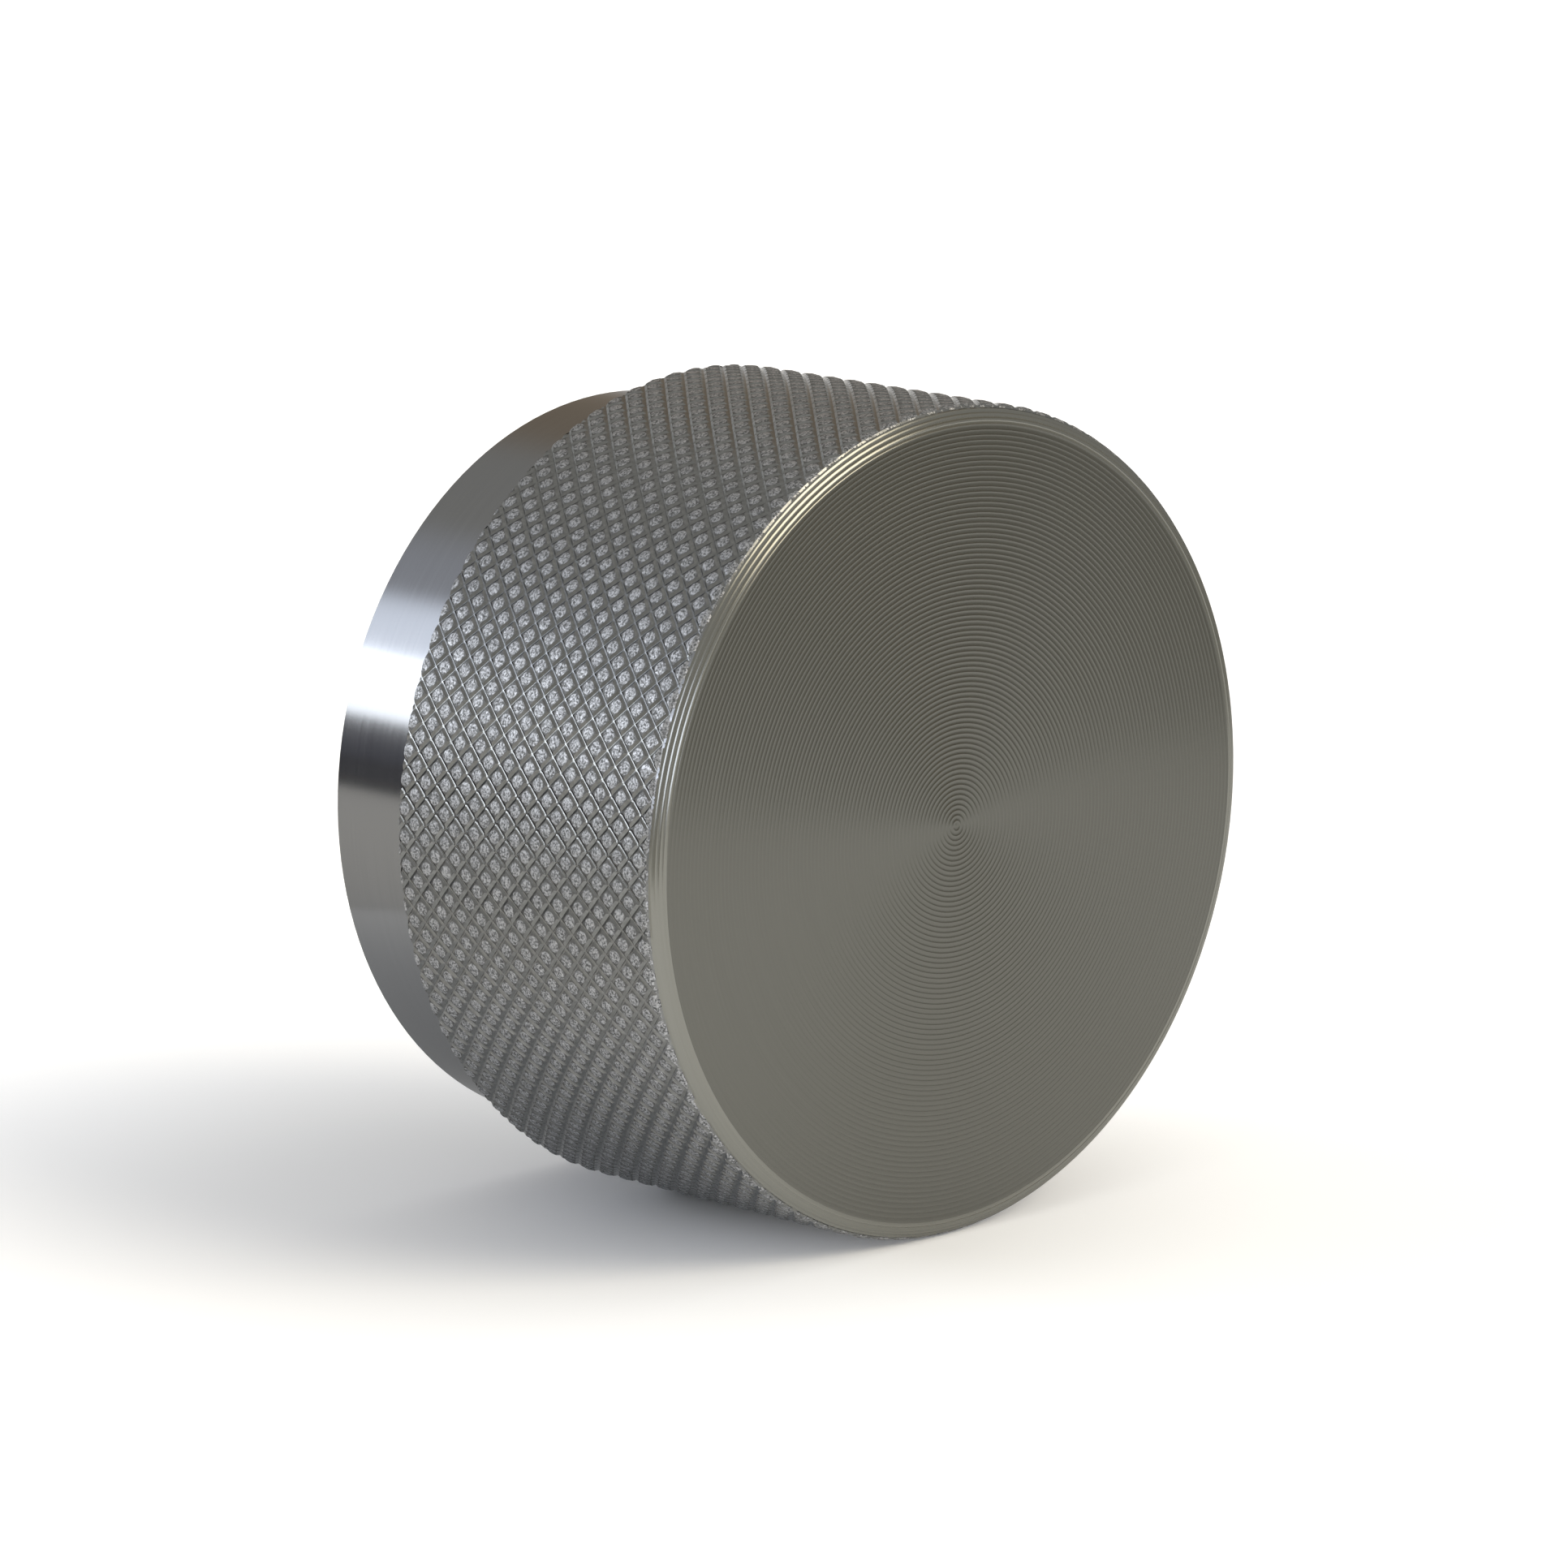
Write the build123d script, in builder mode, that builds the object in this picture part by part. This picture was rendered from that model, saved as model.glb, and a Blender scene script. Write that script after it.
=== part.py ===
from build123d import *
import os
from math import acos, cos, pi, radians, sin, tan

# Cabinet knob, turned from one piece of stainless steel bar and screwed to a door or drawer front.
# Origin: centre of the back face, which lies on the door. -Y: out of the door, along the knob's axis.

# Outside sizes, in mm
head_diameter = 33.0
projection = 19.7
front_round = 0.8
base_diameter = 29.7
base_length = 5.6
back_chamfer = 0.25

# Knurl: two crossed families of grooves, rolled at the same angle to the axis
knurl_pitch = 0.8
knurl_angle = 45.0
knurl_depth = 0.2

# Blind hole tapped for an M4 screw, with the drill's point at its end
thread_core_diameter = 3.3
thread_depth = 12.0
mouth_diameter = 4.3
drill_point_angle = 118.0

# Facets across the front round, between the ends of the grooves and the face
round_facets = 2

head_radius = head_diameter / 2
knurl_length = projection - base_length - front_round
groove_count = round(pi * head_diameter * cos(radians(knurl_angle)) / knurl_pitch)
columns = 2 * groove_count
column_width = pi * head_diameter / columns
rows = round(knurl_length * tan(radians(knurl_angle)) / column_width)
row_height = knurl_length / rows


def head_outline():
    # Steps along the head: distance from the back, radius at a groove, radius at a diamond's tip.
    # The grooves run out on the front round, where it has dropped by their depth.
    outline = []
    for row in range(rows + 1):
        outline.append((base_length + row * row_height, head_radius - knurl_depth, head_radius))
    run_out = acos(1 - knurl_depth / front_round)
    for step in range(round_facets + 1):
        turn = run_out + (pi / 2 - run_out) * step / round_facets
        distance = projection - front_round * (1 - sin(turn))
        radius = head_radius - front_round * (1 - cos(turn))
        outline.append((distance, radius, radius))
    return outline


def ring_of_points(row, distance, groove_radius, tip_radius):
    # Groove crossings and diamond tips take turns round a ring, and change places on the next one.
    ring = []
    for column in range(columns):
        radius = groove_radius if (column + row) % 2 == 0 else tip_radius
        angle = 2 * pi * column / columns
        ring.append(Vector(radius * cos(angle), -distance, radius * sin(angle)))
    return ring


def facet(*corners):
    return Face(Wire.make_polygon(corners))


def head_facets():
    # Each diamond is four flat flanks that rise from the grooves to its tip.
    rings = [ring_of_points(row, *step) for row, step in enumerate(head_outline())]
    facets = [facet(*rings[0]), facet(*rings[-1])]
    for row, (back_ring, front_ring) in enumerate(zip(rings, rings[1:])):
        for column in range(columns):
            after = (column + 1) % columns
            back, back_after = back_ring[column], back_ring[after]
            front, front_after = front_ring[column], front_ring[after]
            if row > rows:
                facets.append(facet(back, back_after, front_after, front))
            elif (column + row) % 2 == 0:
                facets.append(facet(back, back_after, front_after))
                facets.append(facet(back, front_after, front))
            else:
                facets.append(facet(back, back_after, front))
                facets.append(facet(back_after, front_after, front))
    return facets


with BuildPart() as knob:
    # Smooth base ring, with its back edge broken
    with BuildSketch(Plane.XZ):
        Circle(base_diameter / 2)
    extrude(amount=base_length)
    back_face = knob.faces().sort_by(Axis.Y)[-1]
    chamfer(back_face.edges(), length=back_chamfer)

    # Knurled head with its rounded front edge, on the base ring's front end
    add(Solid(Shell(head_facets())), clean=False)

    # Tapped hole from the back: countersunk mouth, core of the thread and the drill's point
    core_radius = thread_core_diameter / 2
    mouth_depth = (mouth_diameter - thread_core_diameter) / 2
    point_depth = core_radius / tan(radians(drill_point_angle / 2))
    with BuildSketch(Plane.XY):
        with BuildLine():
            Polyline(
                (0, 0),
                (mouth_diameter / 2, 0),
                (core_radius, -mouth_depth),
                (core_radius, -thread_depth),
                (0, -thread_depth - point_depth),
                close=True,
            )
        make_face()
    revolve(axis=Axis.Y, mode=Mode.SUBTRACT, clean=False)

os.makedirs("parts", exist_ok=True)
knob.part.label = "knob"
export_step(knob.part, "parts/knob.step", write_pcurves=False)
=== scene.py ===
from math import atan2, ceil, cos, pi, radians, sin, sqrt, tan

import bmesh
import bpy
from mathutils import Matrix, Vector


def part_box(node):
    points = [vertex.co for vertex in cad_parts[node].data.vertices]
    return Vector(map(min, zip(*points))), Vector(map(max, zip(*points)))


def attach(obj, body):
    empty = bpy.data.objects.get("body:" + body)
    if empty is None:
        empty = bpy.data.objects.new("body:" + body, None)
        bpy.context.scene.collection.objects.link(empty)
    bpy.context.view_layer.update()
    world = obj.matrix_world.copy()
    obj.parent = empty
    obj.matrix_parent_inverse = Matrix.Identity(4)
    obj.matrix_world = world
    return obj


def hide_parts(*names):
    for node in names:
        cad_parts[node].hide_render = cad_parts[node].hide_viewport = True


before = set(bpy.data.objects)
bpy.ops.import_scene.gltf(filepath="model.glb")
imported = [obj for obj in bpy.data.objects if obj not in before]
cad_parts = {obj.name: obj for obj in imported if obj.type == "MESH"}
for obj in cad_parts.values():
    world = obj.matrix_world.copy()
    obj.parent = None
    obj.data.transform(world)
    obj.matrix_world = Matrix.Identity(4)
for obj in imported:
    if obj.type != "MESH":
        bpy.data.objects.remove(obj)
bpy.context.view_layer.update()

mm = 0.001
scene = bpy.context.scene
low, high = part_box("knob")
headRadius = high.x / mm
frontPlane = low.y / mm
backPlane = high.y / mm
print("frame loaded, head radius", round(headRadius, 3), "mm")


def hexToLinear(code):
    parts = [int(code[i:i + 2], 16) / 255 for i in (1, 3, 5)]
    return [c / 12.92 if c <= 0.04045 else ((c + 0.055) / 1.055) ** 2.4 for c in parts] + [1.0]


def addNode(tree, kind, inputs=None, **settings):
    node = tree.nodes.new(kind)
    for name, value in settings.items():
        setattr(node, name, value)
    for socket, value in (inputs or {}).items():
        if isinstance(value, bpy.types.NodeSocket):
            tree.links.new(value, node.inputs[socket])
        else:
            node.inputs[socket].default_value = value
    return node


def emptyMaterial(name):
    material = bpy.data.materials.new(name)
    material.use_nodes = True
    material.node_tree.nodes.clear()
    return material, material.node_tree


# The knob is drawn in mm and scaled at the end. A band that carries grooves is cut flat and then wrapped:
# x runs round the axis, y along it, and z is the distance from it.

same = {     # how near, in mm, counts as the same
    "level": 1e-7, "cut": 1e-6, "finish": 1e-5, "point": 2e-5, "plane": 1e-4, "depth": 1e-3,
}
seam = 0.1        # between a turned ring and the edge of another shape that it's joined to
segments = 132    # of everything that is turned
diamondTop, groove, roundEdge, face, ringSide, faced, threadWall = range(7)   # the materials' slots


def cutAlong(bm, point, normal, faces=None, clear=False):
    # Cuts all faces or some along a plane, and can clear away what lies past it.
    if faces is None:
        geometry = bm.verts[:] + bm.edges[:] + bm.faces[:]
    else:
        edges, verts = {e for f in faces for e in f.edges}, {v for f in faces for v in f.verts}
        geometry = faces + list(edges) + list(verts)
    bmesh.ops.bisect_plane(bm, geom=geometry, dist=same["cut"], plane_co=point, plane_no=normal,
                           clear_outer=clear)


def skim(bm, profile, remove, slot):
    # Machines the flat band to a profile of (y, distance from axis), and gives what it touches its finish.
    for y, _ in profile:
        cutAlong(bm, (0, y, 0), (0, 1, 0))
    steps = list(zip(profile, profile[1:]))
    for (yA, rA), (yB, rB) in steps:
        inside = [f for f in bm.faces if min(yA, yB) < f.calc_center_median().y < max(yA, yB)]
        cutAlong(bm, (0, yA, rA), (0, rA - rB, yB - yA), faces=inside)

    def level(y):
        for (yA, rA), (yB, rB) in steps:
            if min(yA, yB) - same["level"] <= y <= max(yA, yB) + same["level"]:
                return rA + (rB - rA) * (y - yA) / (yB - yA)
        return None

    for v in bm.verts:
        limit = level(v.co.y)
        if limit is not None and (v.co.z > limit if remove == "above" else v.co.z < limit):
            v.co.z = limit
    for f in bm.faces:
        levels = [level(v.co.y) for v in f.verts]
        if None not in levels and all(abs(v.co.z - z) < same["finish"] for v, z in zip(f.verts, levels)):
            f.material_index = slot


def wrap(bm, perTurn, target):
    # Bends the flat band round the axis and adds it to the knob.
    made = {}
    for v in bm.verts:
        angle = 2 * pi * v.co.x / perTurn
        made[v] = target.verts.new((v.co.z * cos(angle), v.co.y, v.co.z * sin(angle)))
    for f in bm.faces:
        target.faces.new([made[v] for v in f.verts]).material_index = f.material_index
    bmesh.ops.remove_doubles(target, verts=list(made.values()), dist=same["point"])
    bm.free()


def spin(bm, profile, crests, slot):
    # Turns a profile of (distance from axis, y) and returns its first and last ring. Crests stay crisp.
    angles = [2 * pi * k / segments for k in range(segments)]
    rings = []
    for r, y in profile:
        if r == 0:
            rings.append([bm.verts.new((0, y, 0))])
        else:
            rings.append([bm.verts.new((r * cos(angle), y, r * sin(angle))) for angle in angles])
    for a, b in zip(rings, rings[1:]):
        for k in range(segments):
            n = (k + 1) % segments
            corners = [a[k], a[n], b[n], b[k]] if len(b) > 1 else [a[k], a[n], b[0]]
            bm.faces.new(corners).material_index = slot
    for i in crests:
        for k in range(segments):
            bm.edges.get((rings[i][k], rings[i][(k + 1) % segments])).smooth = False
    return rings[0], rings[-1]


def byAngle(ring):
    return sorted(ring, key=lambda v: atan2(v.co.z, v.co.x))


def zipRings(bm, first, second, slot):
    # Joins two rings of points round the axis that don't have the same number of points.
    ringA, ringB = byAngle(first), byAngle(second)
    anglesA, anglesB = [[atan2(v.co.z, v.co.x) for v in ring] for ring in (ringA, ringB)]
    for ring, angles in ((ringA, anglesA), (ringB, anglesB)):
        ring.append(ring[0])
        angles.append(angles[0] + 2 * pi)
    i = j = 0
    while i < len(ringA) - 1 or j < len(ringB) - 1:
        if j == len(ringB) - 1 or (i < len(ringA) - 1 and anglesA[i + 1] <= anglesB[j + 1]):
            bm.faces.new([ringA[i], ringA[i + 1], ringB[j]]).material_index = slot
            i += 1
        else:
            bm.faces.new([ringA[i], ringB[j + 1], ringB[j]]).material_index = slot
            j += 1


def openRing(bm, y):
    edges = [e for e in bm.edges if e.is_boundary]
    return list({v for e in edges for v in e.verts if abs(v.co.y - y) < same["plane"]})


frontRound = {
    "radius": 0.8,
    "plain": (0, 15, 30),      # degrees from the knurl's side, where the grooves run out
    "rings": (36, 42, 48, 54, 60, 66, 72, 78, 84, 90),    # then a hollow and a crest by turns
    "ringDepth": 0.035,
}


def roundProfile(cut, angles):
    # Part of the front round as (distance from axis, y), by degrees from the knurl (0) to the face (90).
    points = []
    for angle in angles:
        isHollow = angle in cut["rings"][::2]
        reach = cut["radius"] - (cut["ringDepth"] if isHollow else 0.0)
        points.append((headRadius - cut["radius"] + reach * cos(radians(angle)),
                       frontPlane + cut["radius"] - reach * sin(radians(angle))))
    return points


knurlBand = {
    "pitch": 0.8,             # across the grooves
    "grooves": (88, 95),      # of each hand round the head; the two wheels don't stand quite alike
    "depth": 0.102,
    "grooveShare": 0.32,      # of the pitch, between two blunt diamonds
    "bottomShare": (0.015, 0.07),    # of the pitch, the flat in the groove's bottom, for each hand
    "edgeDrop": 0.032,        # rolling leaves each diamond fullest in the middle
    "cornerDrop": 0.048,      # and its corners short, so that its top is nearly a disc
    "rear": -5.6,
    "spareCells": 60,         # looked through past the number of grooves, since the cells lie aslant
    "overhang": 1.5,          # mm of pattern past each end of the band, which is then cut off
}


def knurlSheet(cut):
    # Two crossed families of V grooves on the unrolled head, with blunt, pillowed diamonds between them.
    length = 2 * pi * headRadius
    front = roundProfile(frontRound, frontRound["rings"][1:2])[0][1]
    around = [count / length for count in cut["grooves"]]
    along = [sqrt(1 / cut["pitch"] ** 2 - k * k) for k in around]
    crossing = around[0] * along[1] + along[0] * around[1]
    # Five lines of each hand cross a cell: the edge of a groove's bottom, the diamond's edge, its middle,
    # its other edge, and the next bottom's edge. So strips 0 and 3 are flanks, 1 and 2 the diamond, and
    # 4 is a bottom.
    edge = cut["grooveShare"] / 2
    lines = [(share / 2, edge, 0.5, 1 - edge, 1 - share / 2) for share in cut["bottomShare"]]
    bm = bmesh.new()
    points = {}

    def place(a, b):
        return (along[1] * a - along[0] * b) / crossing, -(around[1] * a + around[0] * b) / crossing

    def point(i, j):
        if (i, j) not in points:
            atBottom = i % 5 in (0, 4) or j % 5 in (0, 4)
            middles = (i % 5 == 2) + (j % 5 == 2)
            drop = cut["depth"] if atBottom else (cut["cornerDrop"], cut["edgeDrop"], 0.0)[middles]
            spot = place(i // 5 + lines[0][i % 5], j // 5 + lines[1][j % 5])
            points[(i, j)] = bm.verts.new((*spot, headRadius - drop))
        return points[(i, j)]

    def rollCell(m, n):
        for p in range(5):
            for q in range(5):
                i, j = 5 * m + p, 5 * n + q
                corners = [point(i, j), point(i + 1, j), point(i + 1, j + 1), point(i, j + 1)]
                onTop = (p in (1, 2)) + (q in (1, 2))
                if onTop == 1 or p == 4 or q == 4:
                    bm.faces.new(corners).material_index = groove
                    continue
                first = 0 if (p < 2) == (q < 2) else 1       # split towards the diamond's middle
                a, b, c, d = corners[first:] + corners[:first]
                for triangle in ([a, b, c], [a, c, d]):
                    bm.faces.new(triangle).material_index = diamondTop if onTop else groove

    last = max(cut["grooves"]) + cut["spareCells"]
    for m in range(-last, last):
        for n in range(-last, last):
            x, y = place(m + 0.5, n + 0.5)
            inTurn = same["plane"] <= x < length + same["plane"]
            if inTurn and front - cut["overhang"] < y < cut["rear"] + cut["overhang"]:
                rollCell(m, n)
    cutAlong(bm, (0, cut["rear"], 0), (0, 1, 0), clear=True)
    cutAlong(bm, (0, front, 0), (0, -1, 0), clear=True)
    return bm, length


def rollKnurl(bm):
    # Ends at the front round's first ring, which is cut into the diamonds. Returns where that ring lies.
    sheet, length = knurlSheet(knurlBand)
    plain = roundProfile(frontRound, frontRound["plain"])
    firstRing = roundProfile(frontRound, frontRound["plain"][-1:] + frontRound["rings"][:2])
    skim(sheet, [(y, r) for r, y in plain], "above", diamondTop)
    skim(sheet, [(y, r) for r, y in firstRing], "above", roundEdge)
    wrap(sheet, length, bm)
    print("knurl rolled,", len(bm.faces), "faces")
    return firstRing[-1][1]


turnedFace = {
    "feed": 0.2,            # one ring for each turn of the lathe
    "ringDepth": 0.021,     # the round tool leaves a shallow hollow between two crests
    "lean": 0.1,            # of the feed, by which a hollow is deepest nearer its inner crest
}


def feedMarks(cut, start):
    # Crests and hollows of the front face by turns, as (distance from axis, y), from a radius to the centre.
    turns = round(start / cut["feed"])
    points = []
    for i in range(2 * turns + 1):
        isHollow = i % 2 == 1
        r = start * (1 - (i / 2 + (cut["lean"] if isHollow else 0.0)) / turns)
        points.append((r, frontPlane + (cut["ringDepth"] if isHollow else 0.0)))
    return points


def turnFront(bm, frontEdge):
    # The rest of the front round and the face, which are one profile with a crest at every other point.
    faceRadius = headRadius - frontRound["radius"]
    roundEnd = roundProfile(frontRound, frontRound["rings"][2:-1])
    profile = roundEnd + feedMarks(turnedFace, faceRadius)
    knurlFront = openRing(bm, frontEdge)
    outer, _ = spin(bm, profile, range(1, len(profile) - 1, 2), face)
    zipRings(bm, knurlFront, outer, roundEdge)
    for f in bm.faces:
        if f.material_index == face and f.calc_center_median().xz.length > faceRadius:
            f.material_index = roundEdge
    print("face turned,", len(bm.faces), "faces")


baseRing = {"radius": 14.85, "chamfer": 0.25}
screwHole = {
    "core": 1.65, "major": 2.0, "pitch": 0.7,     # an M4 thread, its radii
    "coreFlat": 0.25, "majorFlat": 0.125,         # of the pitch
    "mouth": 2.15, "depth": 12.0, "fullThread": 10.6, "drillPoint": 118.0,
    "segments": 48, "spareTurns": 3,              # turns past each end of the wall, which are then cut off
}


def turnBase(bm):
    # The shoulder behind the head, the base ring and the back. Returns the back's edge round the hole.
    rear, radius, chamfer = knurlBand["rear"], baseRing["radius"], baseRing["chamfer"]
    knurlRear = openRing(bm, rear)
    outer, _ = spin(bm, [(headRadius - knurlBand["depth"] - seam, rear), (radius, rear)], [], faced)
    zipRings(bm, knurlRear, outer, faced)
    side = [(radius, rear), (radius, backPlane - chamfer), (radius - chamfer, backPlane)]
    spin(bm, side, [1], ringSide)
    back = [(radius - chamfer, backPlane), (screwHole["mouth"] + seam, backPlane)]
    return spin(bm, back, [], faced)[1]


def threadSheet(cut):
    # The tapped wall unrolled: one helix, its crests at the core and its bottoms at the major radius.
    inner, outer = cut["coreFlat"] / 2, cut["majorFlat"] / 2
    outline = [(-inner, "core"), (inner, "core"), (0.5 - outer, "major"), (0.5 + outer, "major")]
    steps = range(cut["segments"])
    bm = bmesh.new()
    rows = []
    for turn in range(-cut["spareTurns"], ceil(cut["depth"] / cut["pitch"]) + cut["spareTurns"]):
        for share, level in outline:
            rows.append([bm.verts.new((k, -(turn + share + k / cut["segments"]) * cut["pitch"], cut[level]))
                         for k in (*steps, cut["segments"])])
    for a, b in zip(rows, rows[1:]):
        for k in steps:
            bm.faces.new([a[k], a[k + 1], b[k + 1], b[k]]).material_index = threadWall
    cutAlong(bm, (0, backPlane, 0), (0, 1, 0), clear=True)
    cutAlong(bm, (0, -cut["depth"], 0), (0, -1, 0), clear=True)
    return bm, cut["segments"]


def tapHole(bm, cut, backEdge):
    # The thread runs out towards the bottom, and the mouth is countersunk.
    sheet, length = threadSheet(cut)
    sink = [(backPlane, cut["mouth"]), (backPlane - (cut["mouth"] - cut["core"]), cut["core"])]
    runOut = [(-cut["fullThread"], cut["major"]), (-cut["depth"], cut["core"])]
    skim(sheet, sink, "below", threadWall)
    skim(sheet, runOut, "above", threadWall)
    wrap(sheet, length, bm)
    mouth = [v for v in openRing(bm, backPlane) if v.co.xz.length < cut["mouth"] + seam / 2]
    zipRings(bm, mouth, backEdge, faced)
    end = byAngle(openRing(bm, -cut["depth"]))
    tip = bm.verts.new((0, -cut["depth"] - cut["core"] / tan(radians(cut["drillPoint"] / 2)), 0))
    for a, b in zip(end, end[1:] + end[:1]):
        bm.faces.new([a, b, tip]).material_index = threadWall
    print("back faced and hole tapped,", len(bm.faces), "faces")


def isRoundedBottom(edge):
    # The second wheel runs its grooves' bottoms softly into the flank behind them, which faces the front,
    # and that catches a line of light. The edge's slant tells the two hands apart.
    a, b = (v.co for v in edge.verts)
    bottom = headRadius - knurlBand["depth"] + same["depth"]
    isFirstHand = (a.x * b.z - a.z * b.x) * (b.y - a.y) > 0
    if a.xz.length > bottom or b.xz.length > bottom or isFirstHand:
        return False
    flank = max((f.calc_center_median() for f in edge.link_faces), key=lambda centre: centre.xz.length)
    return flank.y > (a.y + b.y) / 2


crispAngle = 18.0     # degrees, past which an edge looks crisp where nothing else is said


def markCrispEdges(bm, frontEdge):
    # Crisp are the first ring's crest, corners, and each border between two finishes but the face's own.
    for e in bm.edges:
        slots = {f.material_index for f in e.link_faces}
        onCrest = slots == {roundEdge} and all(abs(v.co.y - frontEdge) < same["plane"] for v in e.verts)
        curved = slots <= {roundEdge, face} or slots == {groove} and isRoundedBottom(e)
        isCorner = not curved and e.calc_face_angle(0) > radians(crispAngle)
        if onCrest or len(slots - {face}) > 1 or isCorner:
            e.smooth = False
    for f in bm.faces:
        f.smooth = True


def buildKnob():
    bm = bmesh.new()
    frontEdge = rollKnurl(bm)
    turnFront(bm, frontEdge)
    backEdge = turnBase(bm)
    tapHole(bm, screwHole, backEdge)
    bmesh.ops.remove_doubles(bm, verts=bm.verts[:], dist=same["point"])
    bmesh.ops.dissolve_degenerate(bm, dist=same["cut"], edges=bm.edges[:])
    bmesh.ops.recalc_face_normals(bm, faces=bm.faces[:])
    markCrispEdges(bm, frontEdge)
    bmesh.ops.triangulate(bm, faces=[f for f in bm.faces if len(f.verts) > 4])
    openEdges = [e for e in bm.edges if len(e.link_faces) != 2]
    triangles = sum(len(f.verts) - 2 for f in bm.faces)
    bmesh.ops.scale(bm, vec=(mm, mm, mm), verts=bm.verts[:])
    mesh = bpy.data.meshes.new("knob_body")
    bm.to_mesh(mesh)
    bm.free()
    body = bpy.data.objects.new("knob_body", mesh)
    scene.collection.objects.link(body)
    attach(body, "root")
    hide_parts("knob")
    print("knob built,", triangles, "triangles,", len(openEdges), "open edges")
    return body


knob = buildKnob()

# Materials. The pattern coordinates are the object's own, turned into mm, with the distance from the axis
# and the place round it worked out where a mark follows the lathe.

steelEdge = (0.65, 0.65, 0.65, 1.0)    # steel mirrors little more at a glancing angle than head-on


def latheCoordinates(tree):
    place = addNode(tree, "ShaderNodeTexCoord").outputs["Object"]
    inMm = addNode(tree, "ShaderNodeVectorMath", {0: place, 1: (1 / mm,) * 3},
                   operation="MULTIPLY").outputs[0]
    parts = addNode(tree, "ShaderNodeSeparateXYZ", {0: inMm}).outputs
    flat = addNode(tree, "ShaderNodeCombineXYZ", {0: parts["X"], 1: 0.0, 2: parts["Z"]}).outputs[0]
    away = addNode(tree, "ShaderNodeVectorMath", {0: flat}, operation="LENGTH").outputs["Value"]
    turn = addNode(tree, "ShaderNodeMath", {0: parts["Z"], 1: parts["X"]}, operation="ARCTAN2").outputs[0]
    return inMm, parts["Y"], away, turn


# Lengths are in mm. ringGrain is the width of the finest tool marks, drawn wider than real ones to show.
edgeSteel = {    # the front round, in the steel's plain grey; the face beside it is painted darker as shade
    "dark": "#81817B", "light": "#888882", "roughness": (0.16, 0.2), "anisotropy": 0.3,
    "ringGrain": 0.05, "bump": 0.0004,
}
faceSteelShaded = {    # the face, a warm grey, painted darker than the round as shade for the dim room it mirrors
    "dark": "#676762", "light": "#6E6E69", "roughness": (0.18, 0.23), "anisotropy": 0.3,
    "ringGrain": 0.05, "bump": 0.0004,
}
ringSteel = {    # the base ring, turned finer, nearly a mirror
    "dark": "#7F8081", "light": "#868788", "roughness": (0.14, 0.19), "anisotropy": 0.45,
    "ringGrain": 0.12, "bump": 0.0004,
}
backSteel = {    # the back and the shoulder, faced with a coarser feed and duller
    "dark": "#82827F", "light": "#8C8C89", "roughness": (0.28, 0.36), "anisotropy": 0.5,
    "ringGrain": 0.06, "bump": 0.0006, "feed": 0.25, "ringDepth": 0.006,
}


def makeTurnedSteel(name, look, alongAxis=False):
    # Stainless steel, turned with a round-nosed tool: soft grey, with fine rings and a sheen that fans out.
    material, tree = emptyMaterial(name)
    _, along, away, turn = latheCoordinates(tree)
    across = along if alongAxis else away
    axes = {0: addNode(tree, "ShaderNodeMath", {0: across, 1: 1 / look["ringGrain"]},
                       operation="MULTIPLY").outputs[0]}
    grainsRound = 2.0     # to a radian, so that the grain runs far round and changes fast across
    for axis, wave in ((1, "COSINE"), (2, "SINE")):
        swing = addNode(tree, "ShaderNodeMath", {0: turn}, operation=wave).outputs[0]
        axes[axis] = addNode(tree, "ShaderNodeMath", {0: swing, 1: grainsRound},
                             operation="MULTIPLY").outputs[0]
    stretched = addNode(tree, "ShaderNodeCombineXYZ", axes).outputs[0]
    grain = addNode(tree, "ShaderNodeTexNoise", {"Vector": stretched, "Scale": 1.0,
                                                 "Detail": 2.0}).outputs["Fac"]
    colour = addNode(tree, "ShaderNodeMix", {"Factor": grain, "A": hexToLinear(look["dark"]),
                                             "B": hexToLinear(look["light"])}, data_type="RGBA")
    rough = addNode(tree, "ShaderNodeMapRange", {"Value": grain, "To Min": look["roughness"][0],
                                                 "To Max": look["roughness"][1]}).outputs[0]
    height = addNode(tree, "ShaderNodeMath", {0: grain, 1: look["bump"]}, operation="MULTIPLY").outputs[0]
    if "feed" in look:
        # The back's and the shoulder's feed rings are bump: the triangles go to the knurl and the face.
        turns = addNode(tree, "ShaderNodeMath", {0: across, 1: look["feed"]}, operation="DIVIDE").outputs[0]
        part = addNode(tree, "ShaderNodeMath", {0: turns}, operation="FRACT").outputs[0]
        fromHollow = addNode(tree, "ShaderNodeMath", {0: part, 1: 0.5}, operation="SUBTRACT").outputs[0]
        hollow = addNode(tree, "ShaderNodeMath", {0: fromHollow, 1: fromHollow},
                         operation="MULTIPLY").outputs[0]
        height = addNode(tree, "ShaderNodeMath", {0: hollow, 1: 4 * look["ringDepth"], 2: height},
                         operation="MULTIPLY_ADD").outputs[0]
    bump = addNode(tree, "ShaderNodeBump", {"Height": height, "Strength": 1.0, "Distance": mm})
    tangent = addNode(tree, "ShaderNodeTangent", direction_type="RADIAL", axis="Y").outputs[0]
    bsdf = addNode(tree, "ShaderNodeBsdfPrincipled", {
        "Metallic": 1.0, "Base Color": colour.outputs["Result"], "Roughness": rough,
        "Specular Tint": steelEdge, "Anisotropic": look["anisotropy"], "Anisotropic Rotation": 0.25,
        "Tangent": tangent, "Normal": bump.outputs[0],
    })
    addNode(tree, "ShaderNodeOutputMaterial", {"Surface": bsdf.outputs["BSDF"]})
    return material


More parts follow.
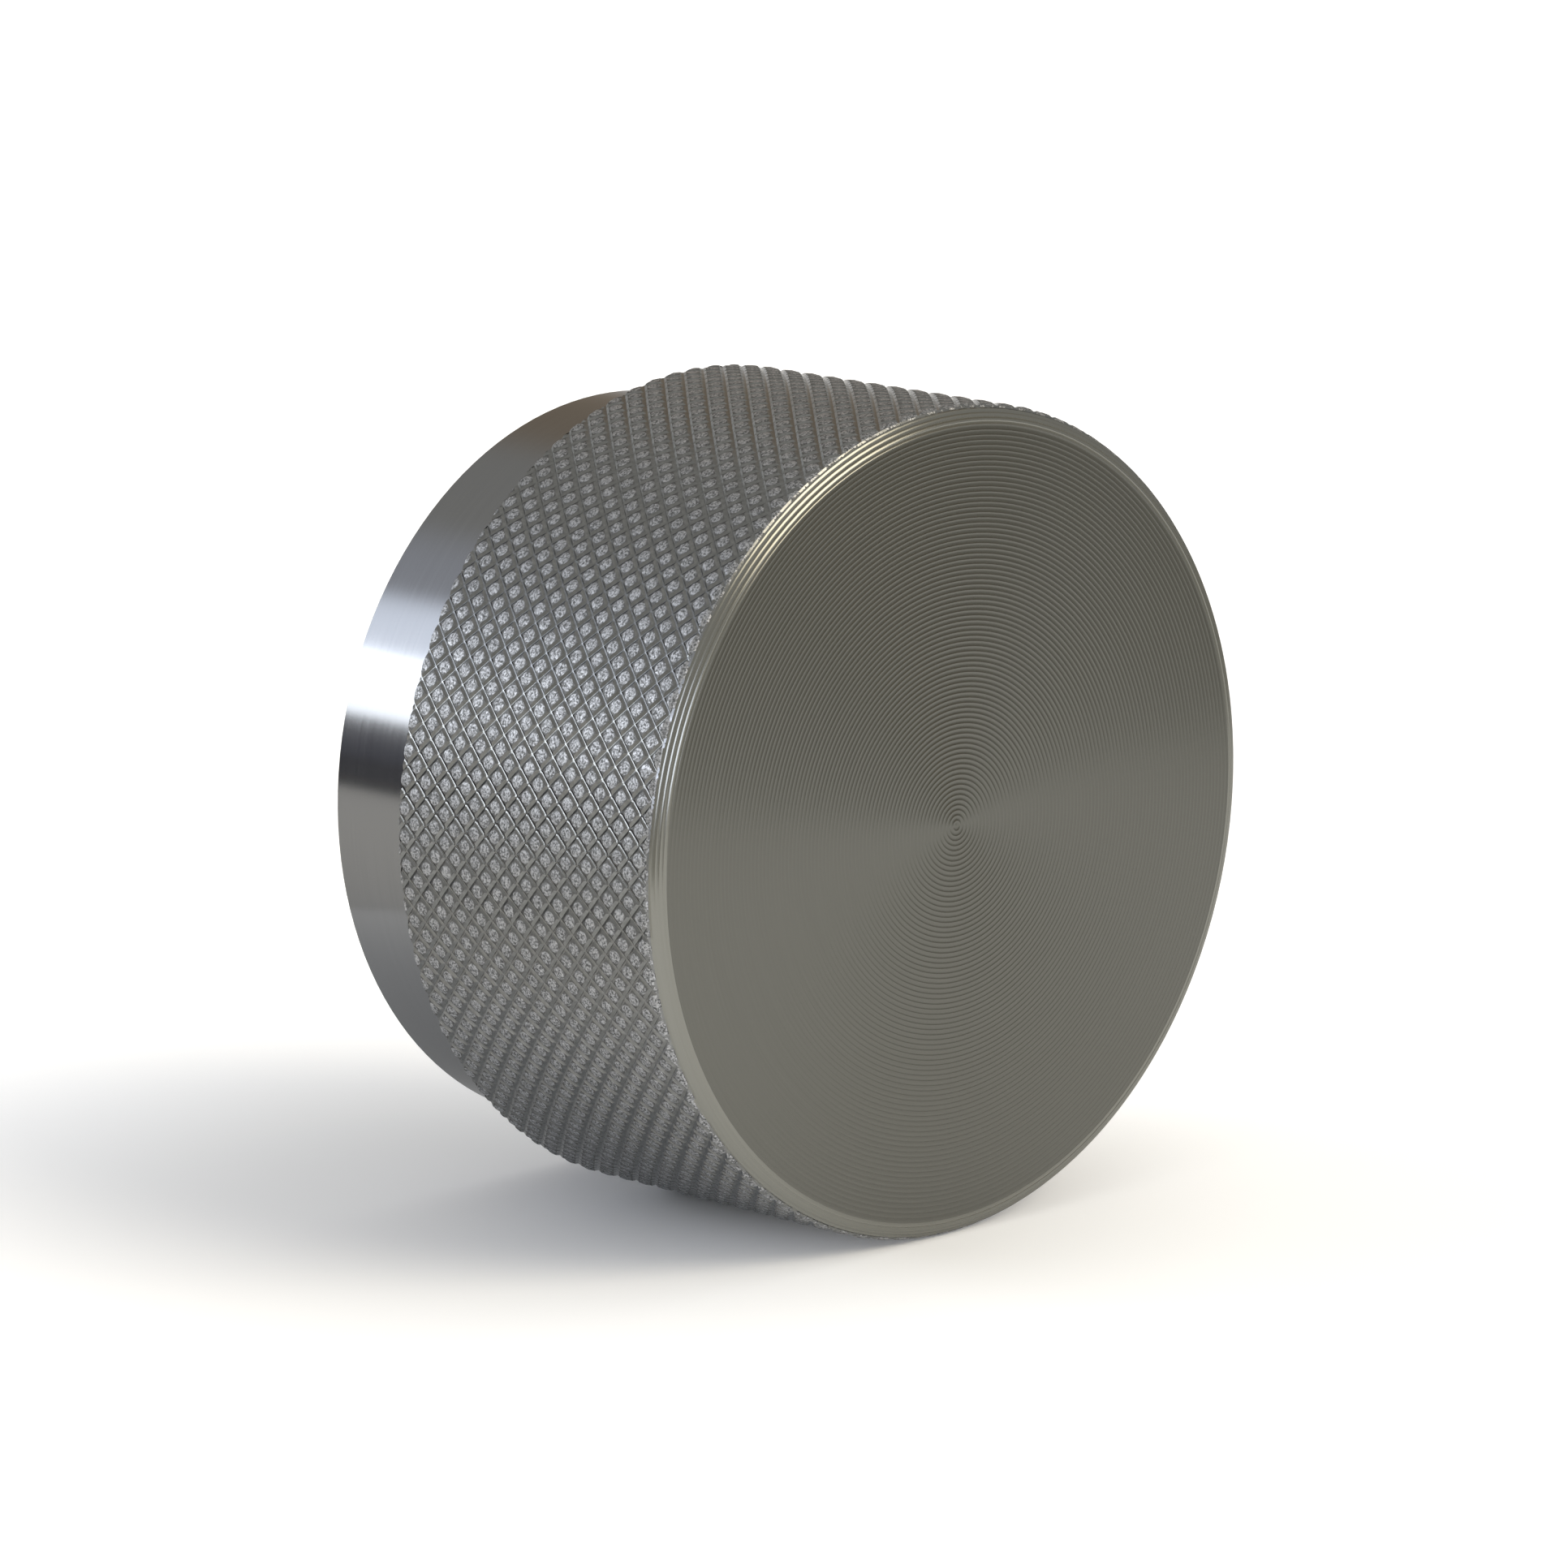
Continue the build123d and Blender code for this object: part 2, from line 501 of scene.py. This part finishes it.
# Lengths in mm: grain is the size of a mottle's patches, and swirl is how far it is stirred.
topSteel = {       # the diamonds' crowns, scuffed by the wheel into light and dark specks
    "dark": "#5C5D5D", "light": "#B6B7B9", "roughness": (0.42, 0.62), "grain": 0.085, "bump": 0.016,
    "swirl": 0.5, "paintedRimShade": "#636362",
    "crown": 0.0345, "blend": 0.003,    # the crown's height, below which the rim is painted dark as shade round the lit crown
}
grooveSteel = {    # the grooves, pressed smooth, so that they shine
    "dark": "#747574", "light": "#808180", "roughness": (0.16, 0.22), "grain": 0.2, "bump": 0.002,
    "swirl": 0.0,
}
threadSteel = {    # the tapped hole, a little torn and dull
    "dark": "#707070", "light": "#808080", "roughness": (0.32, 0.42), "grain": 0.1, "bump": 0.003,
    "swirl": 0.0,
}


def makeWorkedSteel(name, look):
    # Stainless steel as a rolling wheel or a tap leaves it: a mottled grey without a direction.
    material, tree = emptyMaterial(name)
    inMm, along, away, _ = latheCoordinates(tree)
    grain = addNode(tree, "ShaderNodeTexNoise", {
        "Vector": inMm, "Scale": 1 / look["grain"], "Detail": 3.0, "Roughness": 0.6,
        "Distortion": look["swirl"]}).outputs["Fac"]
    sharp = addNode(tree, "ShaderNodeMapRange", {"Value": grain, "From Min": 0.38,
                                                 "From Max": 0.62}).outputs[0]
    colour = addNode(tree, "ShaderNodeMix", {"Factor": sharp, "A": hexToLinear(look["dark"]),
                                             "B": hexToLinear(look["light"])}, data_type="RGBA")
    if "crown" in look:
        # Towards the front the crowns follow the round, so its fall is added back to read their height.
        radius = frontRound["radius"]
        level = headRadius - look["crown"] - radius
        past = addNode(tree, "ShaderNodeMath", {0: frontPlane + radius, 1: along},
                       operation="SUBTRACT").outputs[0]
        past = addNode(tree, "ShaderNodeMath", {0: past, 1: 0.0}, operation="MAXIMUM").outputs[0]
        squared = addNode(tree, "ShaderNodeMath", {0: past, 1: past}, operation="MULTIPLY").outputs[0]
        left = addNode(tree, "ShaderNodeMath", {0: radius ** 2, 1: squared}, operation="SUBTRACT").outputs[0]
        reach = addNode(tree, "ShaderNodeMath", {0: left}, operation="SQRT").outputs[0]
        height = addNode(tree, "ShaderNodeMath", {0: away, 1: reach}, operation="SUBTRACT").outputs[0]
        onCrown = addNode(tree, "ShaderNodeMapRange", {"Value": height, "From Min": level - look["blend"],
                                                       "From Max": level + look["blend"]}).outputs[0]
        # Painted shade: below the crown's height the top takes the dark rim colour, round the lit crown.
        colour = addNode(tree, "ShaderNodeMix", {"Factor": onCrown, "A": hexToLinear(look["paintedRimShade"]),
                                                 "B": colour.outputs["Result"]}, data_type="RGBA")
    rough = addNode(tree, "ShaderNodeMapRange", {"Value": sharp, "To Min": look["roughness"][1],
                                                 "To Max": look["roughness"][0]}).outputs[0]
    bump = addNode(tree, "ShaderNodeBump", {"Height": grain, "Strength": 1.0, "Distance": look["bump"] * mm})
    bsdf = addNode(tree, "ShaderNodeBsdfPrincipled", {
        "Metallic": 1.0, "Base Color": colour.outputs["Result"], "Roughness": rough,
        "Specular Tint": steelEdge, "Normal": bump.outputs[0],
    })
    addNode(tree, "ShaderNodeOutputMaterial", {"Surface": bsdf.outputs["BSDF"]})
    return material


knobMaterials = [    # in the order of the slots
    makeWorkedSteel("rolledSteelTop", topSteel),
    makeWorkedSteel("rolledSteelGroove", grooveSteel),
    makeTurnedSteel("turnedSteelEdge", edgeSteel),
    # the face's darker grey is painted shade
    makeTurnedSteel("turnedSteelFacePaintedShade", faceSteelShaded),
    makeTurnedSteel("turnedSteelRing", ringSteel, alongAxis=True),
    makeTurnedSteel("facedSteelBack", backSteel),
    makeWorkedSteel("tappedSteel", threadSteel),
]
for material in knobMaterials:
    knob.data.materials.append(material)
print("materials made")

# The studio, in metres: white paper under the knob's rim, boards round it, an even room and one soft window
# light from the left. The steel mirrors all of it.

photoCamera = {
    "aim": (-0.00453, -0.01473, 0.00159), "distance": 0.32677, "azimuth": -44.85, "elevation": 11.73,
    "lens": 192.95, "sensor": 36.0, "nearest": 0.01, "farthest": 20.0,
}
whitePaper = {
    "left": -0.16, "right": 0.11, "front": -0.1, "back": 1.6, "colour": "#F8F9FB",
    "lift": 0.3,        # of its own light, to the camera and to what mirrors it
    "shadeAt": (-0.012, 0.0), "shadeInner": 0.006, "shadeOuter": 0.034,    # where the lift fades in; inside, the paper is painted darker as shade
}
boards = {
    "reach": 3.0, "drop": -0.0005, "table": "#CBCBC8", "card": "#59595F",
    "sheet": "#FAFAFA", "sheetNear": -0.027, "sheetFar": -0.083, "sheetBack": 0.5,
}
matt = {"Roughness": 0.9, "Specular IOR Level": 0.0}


def makePlane(name, corners, height, material):
    mesh = bpy.data.meshes.new(name)
    mesh.from_pydata([(x, y, height) for x, y in corners], [], [(0, 1, 2, 3)])
    mesh.materials.append(material)
    plane = bpy.data.objects.new(name, mesh)
    plane.location = (0, frontPlane * mm / 2, low.z)
    plane.rotation_euler.z = radians(photoCamera["azimuth"])
    scene.collection.objects.link(plane)


def makePaper():
    # Matt white paper that stays white to the camera and in the steel, and still takes the knob's shadow.
    paper, tree = emptyMaterial("whiteSweepPaper")
    path = addNode(tree, "ShaderNodeLightPath").outputs
    seen = addNode(tree, "ShaderNodeMath", {0: path["Is Camera Ray"], 1: path["Is Glossy Ray"]},
                   operation="ADD")
    seen = addNode(tree, "ShaderNodeMath", {0: seen.outputs[0], 1: path["Is Transmission Ray"]},
                   operation="ADD", use_clamp=True)
    # Close behind the knob the lift fades out over a fixed disc, which paints the paper darker there as
    # shade, on top of the knob's real shadow.
    place = addNode(tree, "ShaderNodeTexCoord").outputs["Object"]
    away = addNode(tree, "ShaderNodeVectorMath", {0: place, 1: (*whitePaper["shadeAt"], 0.0)},
                   operation="DISTANCE")
    liftBeyondPaintedShade = addNode(tree, "ShaderNodeMapRange", {
        "Value": away.outputs["Value"], "From Min": whitePaper["shadeInner"],
        "From Max": whitePaper["shadeOuter"], "To Max": whitePaper["lift"]}, interpolation_type="SMOOTHSTEP")
    lift = addNode(tree, "ShaderNodeMath", {0: seen.outputs[0], 1: liftBeyondPaintedShade.outputs[0]},
                   operation="MULTIPLY")
    bsdf = addNode(tree, "ShaderNodeBsdfPrincipled", {
        "Base Color": hexToLinear(whitePaper["colour"]), **matt,
        "Emission Color": (1, 1, 1, 1), "Emission Strength": lift.outputs[0],
    })
    addNode(tree, "ShaderNodeOutputMaterial", {"Surface": bsdf.outputs["BSDF"]})
    return paper


def makeBoard(name, colour):
    # Matt card: one even tone without a shine.
    board, tree = emptyMaterial(name)
    bsdf = addNode(tree, "ShaderNodeBsdfPrincipled", {"Base Color": hexToLinear(colour), **matt})
    addNode(tree, "ShaderNodeOutputMaterial", {"Surface": bsdf.outputs["BSDF"]})
    return board


def makeFloor():
    # The paper runs away from the camera, with the table round it. On its left lie a dark card, and, just
    # outside the picture, a plain sheet without the paper's lift, which keeps the knob's flank darker.
    left, right, front, back = [whitePaper[side] for side in ("left", "right", "front", "back")]
    half, drop = boards["reach"], boards["drop"]
    near, far, end = boards["sheetNear"], boards["sheetFar"], boards["sheetBack"]
    makePlane("paper", [(left, front), (right, front), (right, back), (left, back)], 0, makePaper())
    makePlane("table", [(-half, -half), (half, -half), (half, half), (-half, half)], drop,
              makeBoard("mattBoard", boards["table"]))
    makePlane("dark_card", [(-half, front), (left, front), (left, back), (-half, back)], drop / 2,
              makeBoard("darkCard", boards["card"]))
    makePlane("plain_sheet", [(left, front), (near, front), (far, end), (left, end)], -drop / 2,
              makeBoard("plainSheet", boards["sheet"]))


room = {
    "colour": "#FFFDF8", "strength": 0.6,
    "patches": [    # which way each lies from the knob, and the degrees over which it fades
        {"towards": (0.35, 0.93, 0.0), "fade": (14, 30), "colour": "#FFFFFF", "strength": 1.05},  # backdrop
        {"towards": (0.58, 0.69, 0.43), "fade": (8, 24), "colour": "#F0DCC4", "strength": 0.6},
        {"towards": (0.0, 0.0, 1.0), "fade": (10, 35), "colour": "#FFFDF8", "strength": 0.74},    # ceiling
        {"towards": (0.6, -0.78, 0.17), "fade": (6, 22), "colour": "#FFF2DC", "strength": 0.41},  # corner
        {"towards": (-0.72, 0.69, -0.02), "fade": (5, 13), "colour": "#E6E8FF", "strength": 0.2},
        {"towards": (-0.45, 0.69, 0.57), "fade": (8, 22), "colour": "#F2F5FF", "strength": 0.95},
        {"towards": (-0.55, 0.694, 0.465), "fade": (5, 11), "colour": "#EAF1FF", "strength": 3.4},
        {"towards": (0.3, -0.75, 0.58), "fade": (8, 22), "colour": "#FFF4DE", "strength": 6.0},   # lamp
        {"towards": (-0.29, -0.95, 0.1), "fade": (7, 15), "colour": "#E8EEFF", "strength": 5.0},  # window
    ],
}


def makeRoom():
    # The room as the steel mirrors it: each patch is a soft round area of another brightness.
    world = bpy.data.worlds.new("room")
    world.use_nodes = True
    tree = world.node_tree
    tree.nodes.clear()
    direction = addNode(tree, "ShaderNodeTexCoord").outputs["Generated"]
    shade = addNode(tree, "ShaderNodeBackground", {"Color": hexToLinear(room["colour"]),
                                                   "Strength": room["strength"]}).outputs[0]
    for patch in room["patches"]:
        towards = Vector(patch["towards"]).normalized()
        inner, outer = [cos(radians(angle)) for angle in patch["fade"]]
        near = addNode(tree, "ShaderNodeVectorMath", {0: direction, 1: towards}, operation="DOT_PRODUCT")
        share = addNode(tree, "ShaderNodeMapRange", {"Value": near.outputs["Value"], "From Min": outer,
                                                     "From Max": inner}, interpolation_type="SMOOTHSTEP")
        other = addNode(tree, "ShaderNodeBackground", {"Color": hexToLinear(patch["colour"]),
                                                       "Strength": patch["strength"]})
        shade = addNode(tree, "ShaderNodeMixShader", {0: share.outputs[0], 1: shade,
                                                      2: other.outputs[0]}).outputs[0]
    addNode(tree, "ShaderNodeOutputWorld", {"Surface": shade})
    scene.world = world


windowLight = {
    "distance": 0.6, "wide": 0.5, "high": 0.14, "radiance": 5.0, "colour": "#F2F7FF",
    "across": 0.72, "behind": 0.694, "rise": 22.0,     # which way it lies, and by how many degrees it's up
}


def makeWindowLight():
    lamp = bpy.data.lights.new("window", "AREA")
    lamp.shape = "RECTANGLE"
    lamp.size, lamp.size_y = windowLight["wide"], windowLight["high"]
    lamp.energy = windowLight["radiance"] * pi * lamp.size * lamp.size_y
    lamp.color = hexToLinear(windowLight["colour"])[:3]
    across, behind, rise = windowLight["across"], windowLight["behind"], radians(windowLight["rise"])
    direction = Vector((-across * cos(rise), behind, across * sin(rise))).normalized()
    window = bpy.data.objects.new("window", lamp)
    window.location = Vector((0, frontPlane * mm / 2, 0)) + direction * windowLight["distance"]
    window.rotation_euler = direction.to_track_quat("Z", "Y").to_euler()
    scene.collection.objects.link(window)


def makeCamera():
    data = bpy.data.cameras.new("photoCamera")
    data.lens, data.sensor_width = photoCamera["lens"], photoCamera["sensor"]
    data.clip_start, data.clip_end = photoCamera["nearest"], photoCamera["farthest"]
    camera = bpy.data.objects.new("photoCamera", data)
    turn, rise = radians(photoCamera["azimuth"]), radians(photoCamera["elevation"])
    back = Vector((sin(turn) * cos(rise), -cos(turn) * cos(rise), sin(rise)))
    camera.location = Vector(photoCamera["aim"]) + back * photoCamera["distance"]
    camera.rotation_euler = (-back).to_track_quat("-Z", "Y").to_euler()
    scene.collection.objects.link(camera)
    scene.camera = camera


makeFloor()
makeRoom()
makeWindowLight()
makeCamera()
scene.view_settings.view_transform = "Standard"
print("studio set")
